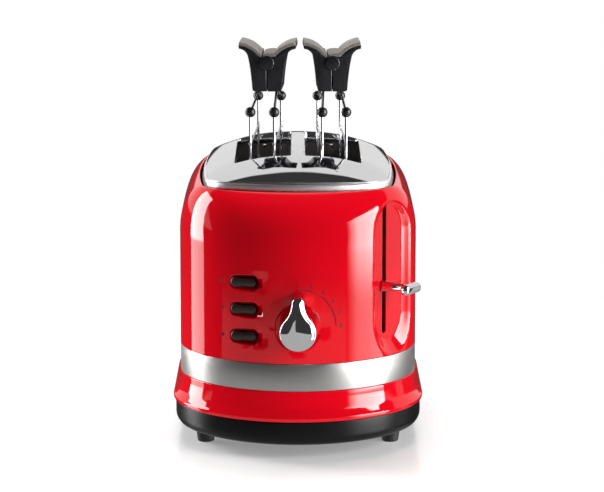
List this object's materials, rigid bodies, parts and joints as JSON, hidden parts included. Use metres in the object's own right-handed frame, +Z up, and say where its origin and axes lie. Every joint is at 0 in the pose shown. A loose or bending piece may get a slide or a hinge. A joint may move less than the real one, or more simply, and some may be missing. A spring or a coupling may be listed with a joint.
{
  "type": "two-slice toaster",
  "caption": "Two-slice toaster with a drop-shaped browning knob, push buttons and a side lever, holding two pairs of sandwich tongs in its slots.",
  "frame": {"origin": "on the surface that the four feet stand on, under the middle of the whole length from the knob's face to the skirt behind", "axes": "+Z up, -Y towards the controls at the front end, +X towards the side with the lever"},
  "size_m": [0.18, 0.3006, 0.2808],
  "materials": {
    "red_enamel": "gloss",
    "red_moulding": "gloss",
    "brushed_band": "brushed",
    "black_moulding": "satin",
    "black_button": "satin",
    "chrome_plate": "polished",
    "pressed_steel": "satin",
    "heater_board": "matte",
    "foot_rubber": "matte",
    "board_green": "matte",
    "grip_plastic": "gloss",
    "pad_grey": "matte",
    "ball_black": "gloss"
  },
  "bodies": {
    "housing": {"outer_shell": "red_enamel", "trim_band": "brushed_band", "base_skirt": "red_moulding", "base_pan": "black_moulding", "feet": "foot_rubber", "top_lid": "chrome_plate", "lid_frame": "pressed_steel", "front_end_plate": "pressed_steel", "rear_end_plate": "pressed_steel", "heater_left": "heater_board", "heater_centre": "heater_board", "heater_right": "heater_board", "heat_shield_left": "pressed_steel", "heat_shield_right": "pressed_steel", "guard_left_outer": "pressed_steel", "guard_left_inner": "pressed_steel", "guard_right_inner": "pressed_steel", "guard_right_outer": "pressed_steel", "guide_rod": "pressed_steel", "return_spring": "pressed_steel", "latch_magnet": "pressed_steel", "browning_potentiometer": "pressed_steel", "control_board": "board_green", "button_switches": "black_moulding", "switch_board": "board_green", "cord_gland": "foot_rubber", "terminal_block": "black_moulding", "base_screws": "pressed_steel"},
    "carriage": {"bread_carrier_left": "pressed_steel", "bread_carrier_right": "pressed_steel", "carriage_bracket": "pressed_steel", "latch_keeper": "pressed_steel", "lever_arm": "pressed_steel", "lever_paddle": "chrome_plate"},
    "browning_control": {"browning_knob": "chrome_plate", "knob_shaft": "pressed_steel"},
    "top_button": {"button_top": "black_button"},
    "middle_button": {"button_middle": "black_button"},
    "bottom_button": {"button_bottom": "black_button"},
    "tray": {"crumb_tray": "black_moulding"},
    "left_tong_pin": {"tong_left_pin": "grip_plastic"},
    "left_tong_inner_half": {"tong_left_inner_grip": "grip_plastic", "tong_left_inner_pad": "pad_grey", "tong_left_inner_jaw": "chrome_plate", "tong_left_inner_balls": "ball_black"},
    "left_tong_outer_half": {"tong_left_outer_grip": "grip_plastic", "tong_left_outer_pad": "pad_grey", "tong_left_outer_jaw": "chrome_plate", "tong_left_outer_balls": "ball_black"},
    "right_tong_pin": {"tong_right_pin": "grip_plastic"},
    "right_tong_inner_half": {"tong_right_inner_grip": "grip_plastic", "tong_right_inner_pad": "pad_grey", "tong_right_inner_jaw": "chrome_plate", "tong_right_inner_balls": "ball_black"},
    "right_tong_outer_half": {"tong_right_outer_grip": "grip_plastic", "tong_right_outer_pad": "pad_grey", "tong_right_outer_jaw": "chrome_plate", "tong_right_outer_balls": "ball_black"}
  },
  "joints": [
    {"name": "carriage_slide", "type": "slide", "parent": "housing", "child": "carriage", "axis": [0, 0, 1], "range_m": [-0.028, 0.0475], "stiffness_N_per_m": 40, "springref_m": 0.0878, "deforming": ["return_spring"]},
    {"name": "browning_turn", "type": "hinge", "parent": "housing", "child": "browning_control", "pos_m": [0, -0.1271, 0.0943], "axis": [0, 1, 0], "range_deg": [0, 90]},
    {"name": "top_button_press", "type": "slide", "parent": "housing", "child": "top_button", "axis": [0.2419, 0.9703, 0], "range_m": [0, 0.002], "stiffness_N_per_m": 400, "springref_m": -0.002},
    {"name": "middle_button_press", "type": "slide", "parent": "housing", "child": "middle_button", "axis": [0.2419, 0.9703, 0], "range_m": [0, 0.002], "stiffness_N_per_m": 400, "springref_m": -0.002},
    {"name": "bottom_button_press", "type": "slide", "parent": "housing", "child": "bottom_button", "axis": [0.2419, 0.9703, 0], "range_m": [0, 0.002], "stiffness_N_per_m": 400, "springref_m": -0.002},
    {"name": "crumb_tray_slide", "type": "slide", "parent": "housing", "child": "tray", "axis": [0, 1, 0], "range_m": [0, 0.2]},
    {"name": "left_tong_lift", "type": "slide", "parent": "carriage", "child": "left_tong_pin", "axis": [0, 0, 1], "range_m": [0, 0.16]},
    {"name": "left_tong_inner_turn", "type": "hinge", "parent": "left_tong_pin", "child": "left_tong_inner_half", "pos_m": [-0.0216, 0.0089, 0.2655], "axis": [0.0436, 0.999, 0], "range_deg": [-2.4, 0]},
    {"name": "left_tong_outer_turn", "type": "hinge", "parent": "left_tong_pin", "child": "left_tong_outer_half", "pos_m": [-0.0216, 0.0089, 0.2655], "axis": [0.0436, 0.999, 0], "range_deg": [0, 2.4]},
    {"name": "right_tong_lift", "type": "slide", "parent": "carriage", "child": "right_tong_pin", "axis": [0, 0, 1], "range_m": [0, 0.16]},
    {"name": "right_tong_inner_turn", "type": "hinge", "parent": "right_tong_pin", "child": "right_tong_inner_half", "pos_m": [0.0245, 0.0089, 0.2655], "axis": [-0.0279, 0.9996, 0], "range_deg": [0, 2.4]},
    {"name": "right_tong_outer_turn", "type": "hinge", "parent": "right_tong_pin", "child": "right_tong_outer_half", "pos_m": [0.0245, 0.0089, 0.2655], "axis": [-0.0279, 0.9996, 0], "range_deg": [-2.4, 0]}
  ],
  "couplings": [
    {"joint": "left_tong_outer_turn", "follows": "left_tong_inner_turn", "ratio": -1},
    {"joint": "right_tong_outer_turn", "follows": "right_tong_inner_turn", "ratio": -1}
  ]
}
